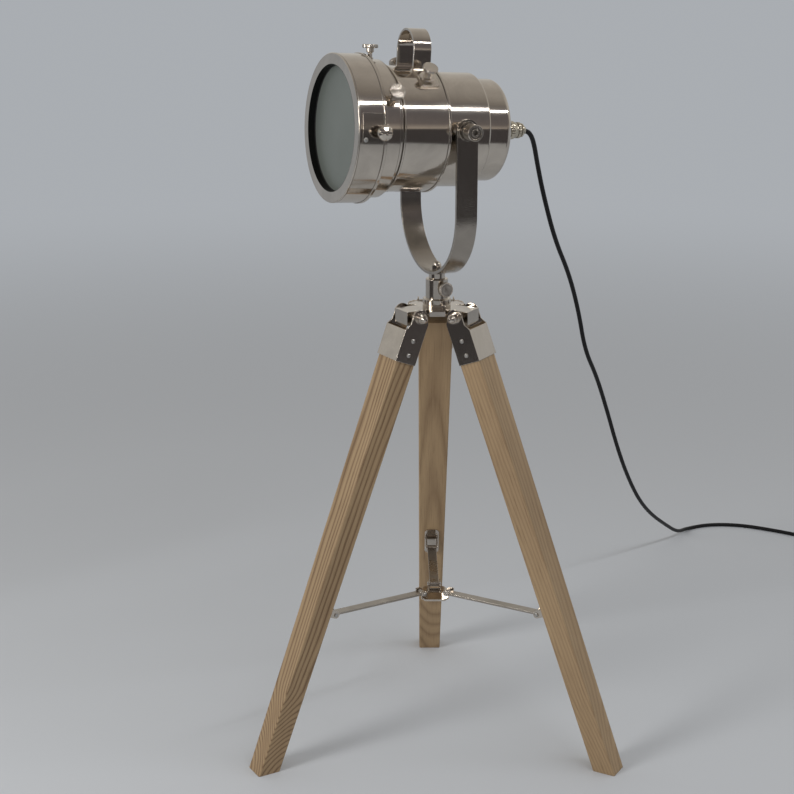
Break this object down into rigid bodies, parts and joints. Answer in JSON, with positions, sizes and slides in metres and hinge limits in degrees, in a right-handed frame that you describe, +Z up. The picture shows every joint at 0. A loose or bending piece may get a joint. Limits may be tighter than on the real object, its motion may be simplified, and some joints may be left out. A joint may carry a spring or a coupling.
{
  "type": "tripod spotlight floor lamp",
  "caption": "Searchlight-style floor lamp: a polished round drum head with glass front and carry handle, in a U-shaped yoke on a folding wooden tripod with a spreader, and a mains cord.",
  "frame": {"origin": "on the floor, at the middle of the three feet's footprint", "axes": "+Z up; +Y towards the rear leg; the head's nose points 23.4 degrees from -X towards -Y and 3.3 degrees up"},
  "size_m": [1.2489, 1.0441, 1.0675],
  "materials": {
    "oak": "clear matt lacquer",
    "nickel": "polished nickel plate",
    "cast_nickel": "polished nickel plate on casting",
    "steel": "bright zinc",
    "brass": "lightly tarnished",
    "glass": "frosted",
    "bulb": "opal",
    "reflector": "bright spun",
    "rubber": "black cord sheath",
    "plastic": "black moulded",
    "phenolic": "black lampholder"
  },
  "bodies": {
    "tripod_head": {"tripod_hub": "cast_nickel", "stem_socket": "cast_nickel", "leg_pivot_bolts": "nickel", "leg_pivot_nuts": "nickel"},
    "left_leg": {"leg_left": "oak", "leg_cap_left": "nickel", "leg_bracket_left": "nickel", "leg_screws_left": "steel", "leg_pin_left": "steel"},
    "left_spreader_arm": {"spreader_arm_left": "steel"},
    "right_leg": {"leg_right": "oak", "leg_cap_right": "nickel", "leg_bracket_right": "nickel", "leg_screws_right": "steel", "leg_pin_right": "steel"},
    "right_spreader_arm": {"spreader_arm_right": "steel"},
    "rear_leg": {"leg_rear": "oak", "leg_cap_rear": "nickel", "leg_bracket_rear": "nickel", "leg_screws_rear": "steel", "leg_pin_rear": "steel"},
    "rear_spreader_arm": {"spreader_arm_rear": "steel"},
    "spreader_centre": {"spreader_hub": "nickel", "spreader_hub_rivets": "steel"},
    "yoke": {"yoke_strap": "nickel", "yoke_spigot": "nickel", "yoke_nut": "nickel", "power_cord": "rubber", "cord_coil": "rubber", "plug_lead": "rubber", "mains_plug": "plastic"},
    "lamp_head": {"head_front_drum": "nickel", "head_rear_drum": "nickel", "tilt_bosses": "nickel", "carry_handle": "nickel", "handle_washers": "nickel", "lampholder_bracket": "steel", "lampholder": "phenolic", "bulb_cap": "brass", "bulb_glass": "bulb", "reflector": "reflector", "cable_gland": "brass", "gland_nut": "brass", "inner_lead": "rubber", "cord_root": "rubber"},
    "bezel": {"bezel_ring": "nickel", "front_glass": "glass", "glass_gasket": "rubber", "glass_retaining_ring": "nickel", "bezel_catch_plate": "nickel", "catch_plate_screw": "steel"},
    "bezel_screw_top_body": {"bezel_screw_top": "nickel"},
    "bezel_screw_near_body": {"bezel_screw_near": "nickel"},
    "bezel_screw_far_body": {"bezel_screw_far": "nickel"},
    "bezel_slotted_screw_body": {"bezel_slotted_screw": "nickel"},
    "handle_screw_near_body": {"handle_screw_near": "nickel"},
    "handle_screw_far_body": {"handle_screw_far": "nickel"},
    "tilt_knob_near_body": {"tilt_knob_near": "nickel"},
    "tilt_knob_far_body": {"tilt_knob_far": "nickel"},
    "stem_screw_body": {"stem_screw": "nickel"}
  },
  "joints": [
    {"name": "leg_fold_left", "type": "hinge", "parent": "tripod_head", "child": "left_leg", "pos_m": [-0.0375, -0.09208, 0.6625], "axis": [0.5, -0.866, 0], "range_deg": [0, 8]},
    {"name": "arm_swing_left", "type": "hinge", "parent": "left_leg", "child": "left_spreader_arm", "pos_m": [-0.15242, -0.15843, 0.225], "axis": [0.5, -0.866, 0], "range_deg": [0, 46]},
    {"name": "leg_fold_right", "type": "hinge", "parent": "tripod_head", "child": "right_leg", "pos_m": [0.0375, -0.09208, 0.6625], "axis": [0.5, 0.866, 0], "range_deg": [0, 8]},
    {"name": "arm_swing_right", "type": "hinge", "parent": "right_leg", "child": "right_spreader_arm", "pos_m": [0.15242, -0.15843, 0.225], "axis": [0.5, 0.866, 0], "range_deg": [0, 46]},
    {"name": "leg_fold_rear", "type": "hinge", "parent": "tripod_head", "child": "rear_leg", "pos_m": [0, -0.02713, 0.6625], "axis": [-1, 0, 0], "range_deg": [0, 8]},
    {"name": "arm_swing_rear", "type": "hinge", "parent": "rear_leg", "child": "rear_spreader_arm", "pos_m": [0, 0.10557, 0.225], "axis": [-1, 0, 0], "range_deg": [0, 46]},
    {"name": "spreader_slide", "type": "slide", "parent": "tripod_head", "child": "spreader_centre", "axis": [0, 0, 1], "range_m": [0, 0.109]},
    {"name": "pan_turn", "type": "hinge", "parent": "tripod_head", "child": "yoke", "pos_m": [0, -0.07043, 0.7], "axis": [0, 0, 1], "range_deg": [-170, 170]},
    {"name": "head_tilt", "type": "hinge", "parent": "yoke", "child": "lamp_head", "pos_m": [0, -0.07043, 0.934], "axis": [0.3972, -0.9178, 0], "range_deg": [-75, 48]},
    {"name": "bezel_draw", "type": "slide", "parent": "lamp_head", "child": "bezel", "axis": [-0.9162, -0.3965, 0.0576], "range_m": [0, 0.06]},
    {"name": "bezel_screw_top_turn", "type": "hinge", "parent": "bezel", "child": "bezel_screw_top_body", "pos_m": [-0.09542, -0.10631, 1.02689], "axis": [0.032, 0.0709, 0.997], "range_deg": [0, 720]},
    {"name": "bezel_screw_near_turn", "type": "hinge", "parent": "bezel", "child": "bezel_screw_near_body", "pos_m": [-0.0638, -0.18583, 0.98243], "axis": [0.3648, -0.7662, 0.529], "range_deg": [0, 720]},
    {"name": "bezel_screw_far_turn", "type": "hinge", "parent": "bezel", "child": "bezel_screw_far_body", "pos_m": [-0.1278, -0.03795, 0.98243], "axis": [-0.3088, 0.7904, 0.529], "range_deg": [0, 720]},
    {"name": "bezel_slotted_screw_turn", "type": "hinge", "parent": "bezel", "child": "bezel_slotted_screw_body", "pos_m": [-0.07975, -0.21696, 0.93986], "axis": [0.3996, -0.9146, 0.0609], "range_deg": [0, 720]},
    {"name": "handle_screw_near_turn", "type": "hinge", "parent": "lamp_head", "child": "handle_screw_near_body", "pos_m": [-0.0163, -0.13209, 1.00555], "axis": [0.2606, -0.4807, 0.8373], "range_deg": [0, 720]},
    {"name": "handle_screw_far_turn", "type": "hinge", "parent": "lamp_head", "child": "handle_screw_far_body", "pos_m": [-0.0561, -0.04011, 1.00555], "axis": [-0.172, 0.519, 0.8373], "range_deg": [0, 720]},
    {"name": "tilt_knob_near_turn", "type": "hinge", "parent": "lamp_head", "child": "tilt_knob_near_body", "pos_m": [0.03813, -0.15854, 0.934], "axis": [0.3972, -0.9178, 0], "range_deg": [0, 720]},
    {"name": "tilt_knob_far_turn", "type": "hinge", "parent": "lamp_head", "child": "tilt_knob_far_body", "pos_m": [-0.03813, 0.01767, 0.934], "axis": [-0.3972, 0.9178, 0], "range_deg": [0, 720]},
    {"name": "stem_screw_turn", "type": "hinge", "parent": "tripod_head", "child": "stem_screw_body", "pos_m": [0.00815, -0.08455, 0.6987], "axis": [0.5, -0.866, 0], "range_deg": [0, 720]}
  ],
  "couplings": [
    {"joint": "leg_fold_right", "follows": "leg_fold_left", "ratio": 1},
    {"joint": "leg_fold_rear", "follows": "leg_fold_left", "ratio": 1},
    {"joint": "arm_swing_left", "follows": "leg_fold_left", "ratio": 5.7},
    {"joint": "arm_swing_right", "follows": "leg_fold_left", "ratio": 5.7},
    {"joint": "arm_swing_rear", "follows": "leg_fold_left", "ratio": 5.7},
    {"joint": "spreader_slide", "follows": "leg_fold_left", "m_per_rad": 0.7799}
  ]
}
